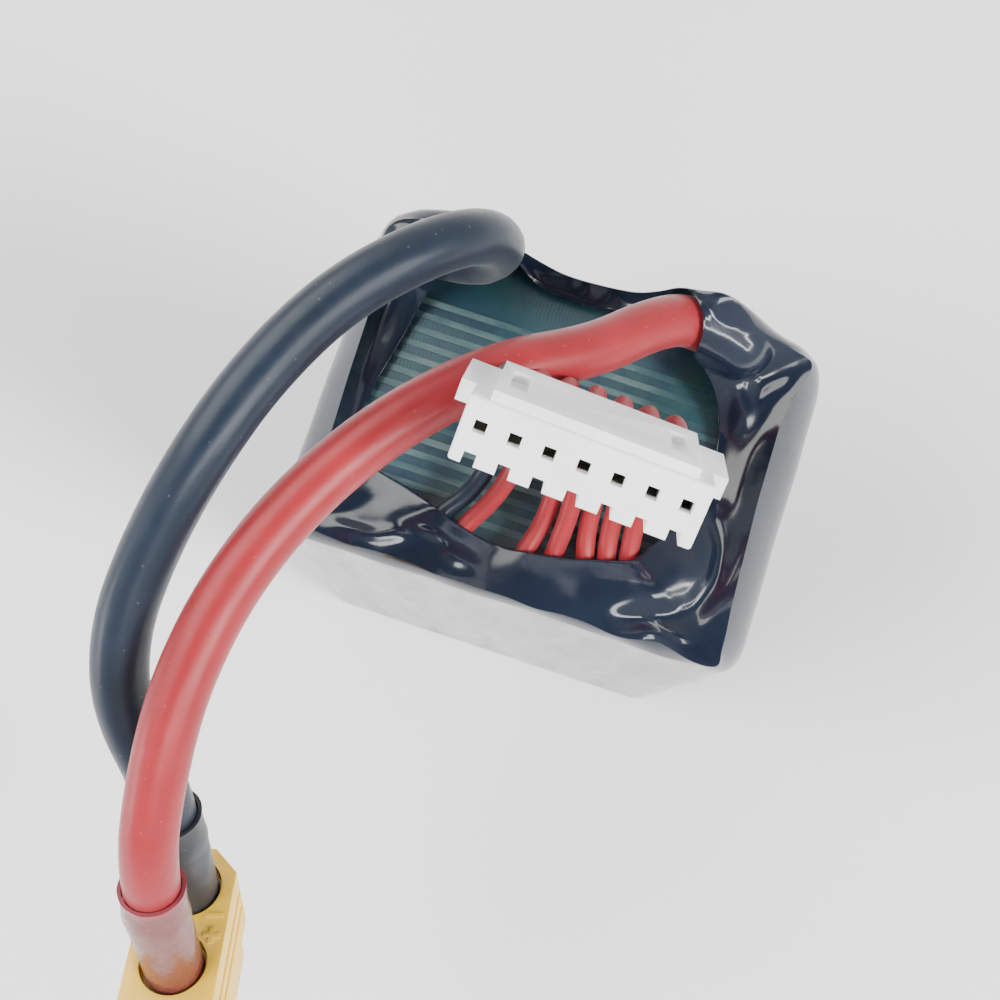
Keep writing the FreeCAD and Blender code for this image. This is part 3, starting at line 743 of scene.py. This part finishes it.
def wall_part(wall, out, crest):
    """The part of a section from the lip under the pack, round its foot and up the wall."""
    part = []
    for step in range(LIP_STEPS):
        inward = FILM_LIP - (FILM_LIP - FILM_FOOT) * step / LIP_STEPS
        part.append(wall - out * inward + Vector((0, 0, LIP_HIGH)))
    for step in range(FOOT_STEPS):
        turn = math.radians(90 * step / (FOOT_STEPS - 1))
        rise = Vector((0, 0, FILM_FOOT * (1 - math.cos(turn))))
        part.append(wall + out * FILM_FOOT * (math.sin(turn) - 1) + rise)
    flank = abs(out.x) ** 2
    inset = (wall - crest).xy.dot(out.xy)
    side_top = crest.z - SIDE_DROP - SIDE_DROP_PER_INSET * inset
    top = flank * SHOULDER_Z + (1 - flank) * side_top
    gap = wall.x - CELL_PITCH * round(wall.x / CELL_PITCH)
    side = GROOVE_DEEP * math.exp(-(gap / GROOVE_HALF) ** 2) * abs(out.y) ** 4
    for step in range(1, WALL_LEVELS + 1):
        share = step / WALL_LEVELS
        height = FILM_FOOT + (top - FILM_FOOT) * share
        swell = FILM_SWELL * flank * math.sin(math.pi / 2 * min(share, SWELL_TOP) / SWELL_TOP)
        groove = side * min(share, 1 - share, GROOVE_FADE) / GROOVE_FADE
        spot = Vector((wall.x * WAVE_GRAIN, wall.y * WAVE_GRAIN, height * WAVE_GRAIN_UP))
        wave = WAVE_HIGH * noise.noise(spot)
        part.append(wall + out * (swell - groove + wave) + Vector((0, 0, height)))
    return part


def shoulder_part(shoulder, crest, out):
    """The part of a section that bends from the top of the wall to the crest."""
    flank = abs(out.x) ** 2
    knee = shoulder.lerp(crest, KNEE_SHARE)
    knee += out * KNEE_OUT * (shoulder - crest).length * flank
    knee.z += KNEE_RISE * (1 - flank) * (crest.z - shoulder.z)
    part = []
    for step in range(1, SHOULDER_STEPS + 1):
        share = step / SHOULDER_STEPS
        part.append(shoulder.lerp(knee, share).lerp(knee.lerp(crest, share), share))
    return part


def fall_part(crest, hem):
    """The part of a section from the crest over the pack's top to the hem, with its folds."""
    hump = min(max((crest.z - HUMP_FROM) / HUMP_RISE, 0), 1)
    part = []
    for step in range(1, FALL_STEPS + 1):
        share = step / FALL_STEPS
        place = crest.lerp(hem, share)
        fallen = (1 - hump) * (1 - (1 - share) ** FALL_FLAT) + hump * share ** FALL_HUMP
        place.z = crest.z + (hem.z - crest.z) * fallen
        place.z += fold_height(place) * math.sin(math.pi * min(share, FOLD_KEPT)) ** 0.5
        place.z += SHIVER_HIGH * noise.noise(place * SHIVER_GRAIN) * math.sin(math.pi * share)
        part.append(place)
    return part


def film_section(outer, out, crest, hem):
    """The film's section at one station, from under the pack, up the wall and over to the hem."""
    wall = Vector((*outer, 0))
    out = Vector((*out, 0))
    section = wall_part(wall, out, crest)
    section += shoulder_part(section[-1].copy(), crest, out)
    section += fall_part(crest, hem)
    along = (section[-1] - section[-3]).normalized()
    up = along.cross(Vector((-out.y, out.x, 0))).normalized()
    up = up if up.z > 0 else -up
    edge = section[-1]
    for step in range(1, EDGE_STEPS + 1):
        turn = math.pi * step / EDGE_STEPS
        bend = along * math.sin(turn) - up * (1 - math.cos(turn))
        section.append(edge + bend * HEM_THICK / 2)
    for _ in range(TUCK_STEPS):
        section.append(section[-1] - along * TUCK_STEP)
    return section


def perimeter_angle(share):
    """The angle of the point that far round the wall's bounding rectangle, from its +X side."""
    wide, deep = FILM_OUT
    corners = [(wide, 0), (wide, deep), (-wide, deep), (-wide, -deep), (wide, -deep), (wide, 0)]
    left = share * 4 * (wide + deep)
    for start, end in zip(corners, corners[1:]):
        start, end = Vector(start), Vector(end)
        run = (end - start).length
        if left < run:
            place = start.lerp(end, left / run)
            return math.atan2(place.y, place.x) % math.tau
        left -= run
    return 0.0


def ragged_crest(angle):
    """The crest at an angle, moved about over the broad walls."""
    place = on_line(FILM_CREST, angle)
    ragged = RAGGED * abs(rounded_outline(angle)[1].y)
    coarse = noise.noise_vector(place * RAGGED_GRAIN)
    fine = noise.noise_vector(place * RAGGED_FINE_GRAIN)
    return place + (ragged * coarse + RAGGED_FINE * ragged * fine)


def add_film():
    angles = [perimeter_angle(index / FILM_STATIONS) for index in range(FILM_STATIONS)]
    crest = rounded_off([ragged_crest(angle) for angle in angles], CREST_REACH)
    hem = rounded_off([on_line(FILM_HEM, angle) for angle in angles], HEM_REACH)
    lines = []
    for route in LEAD_ROUTES.values():
        start = Vector(route[0])
        lines.append([point for point in centreline(route) if (point - start).length < UNDER_FILM])
    sections = []
    for angle, crest_place, hem_place in zip(angles, crest, hem):
        outer, out = rounded_outline(angle)
        sections.append(film_section(outer, out, crest_place, hem_place))
    for _ in range(SETTLES):
        for section in sections:
            for index in range(UPPER_FROM, len(section)):
                section[index] = clear_of_leads(section[index], lines)
        for index in range(UPPER_FROM, len(sections[0])):
            ring = rounded_off([section[index] for section in sections], SETTLE_REACH)
            for section, place in zip(sections, ring):
                section[index] = place
    data = bmesh.new()
    columns = []
    for section in sections:
        columns.append([data.verts.new(place * MM) for place in section])
    for index, column in enumerate(columns):
        following = columns[(index + 1) % FILM_STATIONS]
        for low in range(len(column) - 1):
            data.faces.new((column[low], following[low], following[low + 1], column[low + 1]))
    dress(mesh_piece("shrunk_film", data), "film", "shrink_wrap")


# ---- foam pad under the cells ------------------------------------------------------------------
PAD_SOFTNESS = 0.45
PAD_CUTS = 5
PAD_DIMPLE = 0.12
PAD_DIMPLE_GRAIN = 0.5
PAD_PRESSED = 0.6


def add_end_pad():
    """The foam pad that the pack stands on: rounded corners, and dimples pressed into its sides."""
    pad = softened("end_pad", PAD_SOFTNESS, "foam_end_pad")
    data = bmesh.new()
    data.from_mesh(pad.data)
    bmesh.ops.triangulate(data, faces=data.faces)
    bmesh.ops.subdivide_edges(data, edges=data.edges, cuts=PAD_CUTS, use_grid_fill=True)
    for vertex in data.verts:
        place = vertex.co / MM
        press = PAD_DIMPLE * (noise.noise(place * PAD_DIMPLE_GRAIN) - PAD_PRESSED)
        vertex.co += vertex.normal * press * MM
    data.to_mesh(pad.data)
    data.free()
    dress(pad, "pad", "end_pad")


# ---- power leads and plug ----------------------------------------------------------------------
# A sleeve starts inside the plug's hole and ends so far out of it, in millimetres. It necks from
# the cup to the lead between the two distances of the taper.
SLEEVE_FROM = 1.2
SLEEVE_OUT = {"positive": 13.2, "negative": 12.4}
SLEEVE_WALL = 0.28
SLEEVE_SLACK = 0.08
SLEEVE_BORE_GAP = 0.02
SLEEVE_SIDES = 48
CUP_STEPS = 12
CUP_RADIUS = 2.29
CUP_TAPER = (5.0, 7.6)
RIM_HIGH = 0.08
RIM_HALF = 0.4
RIM_REACH = 2.80
WRINKLE_HIGH = 0.10
WRINKLE_GRAIN = 1.6
WRINKLE_GRAIN_ALONG = 0.45
CREASE_HIGH = 0.12
CREASE_HALF = 0.35
CREASE_AT = 9.5
CREASE_SLANT = 0.8
PLUG_SOFTNESS = 0.18
BALANCE_SOFTNESS = 0.12


def sleeve_path(pole, route):
    """The middle line of a sleeve from inside the plug's recess, over the cup, along the lead."""
    hole = HOLES[pole] / MM
    axis = PLUG_AXIS
    jacket_end = Vector(route[-1])
    path = [hole + axis * SLEEVE_FROM]
    cup = (hole - jacket_end).dot(axis)
    for step in range(CUP_STEPS + 1):
        path.append(hole - axis * cup * step / CUP_STEPS)
    left = SLEEVE_OUT[pole] - cup
    line = list(reversed(centreline(route)))
    for start, end in zip(line, line[1:]):
        run = (end - start).length
        if left <= run:
            path.append(start.lerp(end, left / run))
            break
        path.append(end)
        left -= run
    return path


def cup_sleeve(pole, route):
    """Shrunk tube: snug on the cup, necked beyond it, creased on the lead, with a thick rim."""
    path = sleeve_path(pole, route)
    side = PLUG_AXIS.orthogonal().normalized()
    outside, inside = [], []
    travelled = -SLEEVE_FROM
    for index, place in enumerate(path):
        if index:
            travelled += (place - path[index - 1]).length
        ahead = path[min(index + 1, len(path) - 1)] - path[max(index - 1, 0)]
        along = ahead.normalized()
        across = (side - along * side.dot(along)).normalized()
        other = along.cross(across)
        share = min(max((travelled - CUP_TAPER[0]) / (CUP_TAPER[1] - CUP_TAPER[0]), 0), 1)
        share = share * share * (3 - 2 * share)
        snug = CUP_RADIUS + (LEAD_DIAMETER / 2 + SLEEVE_SLACK - CUP_RADIUS) * share
        rim = RIM_HIGH * math.exp(-((travelled - SLEEVE_OUT[pole]) / RIM_HALF) ** 2)
        out_ring, in_ring = [], []
        for step in range(SLEEVE_SIDES):
            turn = math.tau * step / SLEEVE_SIDES
            level, upright = math.cos(turn), math.sin(turn)
            out = across * level + other * upright
            spot = Vector((level, upright, 0)) * WRINKLE_GRAIN
            spot.z = travelled * WRINKLE_GRAIN_ALONG
            wrinkle = WRINKLE_HIGH * noise.noise(spot)
            from_crease = (travelled - CREASE_AT - CREASE_SLANT * level) / CREASE_HALF
            crease = CREASE_HIGH * math.exp(-from_crease ** 2)
            out_ring.append((place + out * (snug + SLEEVE_WALL + rim + wrinkle + crease)) * MM)
            in_ring.append((place + out * (snug + SLEEVE_BORE_GAP)) * MM)
        outside.append(out_ring)
        inside.append(in_ring)
    data = bmesh.new()
    add_rings(data, outside + list(reversed(inside)) + [outside[0]])
    bmesh.ops.remove_doubles(data, verts=data.verts, dist=SAME_SEAM)
    bmesh.ops.recalc_face_normals(data, faces=data.faces)
    slot = "red_sleeve" if pole == "positive" else "black_sleeve"
    sleeve = dress(mesh_piece(pole + "_shrunk_sleeve", data), slot, pole + "_cup_sleeve")
    sleeve.data.materials.append(PAINTS["sleeve_rim"] if pole == "positive" else PAINTS[slot])
    rim_middle = path[-1] * MM
    for face in sleeve.data.polygons:
        if (face.center - rim_middle).length < RIM_REACH * MM:
            face.material_index = 1
    return sleeve


def add_power_leads():
    moulding = softened("power_plug_housing", PLUG_SOFTNESS, "plug_moulding")
    housing = dress(moulding, "plug_nylon", "power_plug_housing")
    for pole, slot in (("positive", "red_wire"), ("negative", "black_wire")):
        route = LEAD_ROUTES[pole]
        name = pole + "_lead"
        lead = dress(cord_curve(name + "_jacket", route, LEAD_DIAMETER), slot, name)
        parts = [NODES[pole + part] for part in ("_conductor_end", "_cup_solder", "_socket")]
        parts.append(cup_sleeve(pole, route))
        if pole == "positive":
            parts.append(housing)


# ---- balance wires and plug --------------------------------------------------------------------
def add_balance_lead():
    moulding = softened("balance_housing", BALANCE_SOFTNESS, "balance_moulding")
    housing = dress(moulding, "white_nylon", "balance_housing")
    for index, route in enumerate(WIRE_ROUTES):
        number = str(index + 1)
        slot = "black_wire" if index == 0 else "red_wire"
        name = "balance_wire_" + number
        wire = dress(cord_curve(name + "_jacket", route, WIRE_DIAMETER), slot, name)


paint_frame()
add_camera()
add_floor()
add_light()
add_film()
add_end_pad()
add_power_leads()
add_balance_lead()
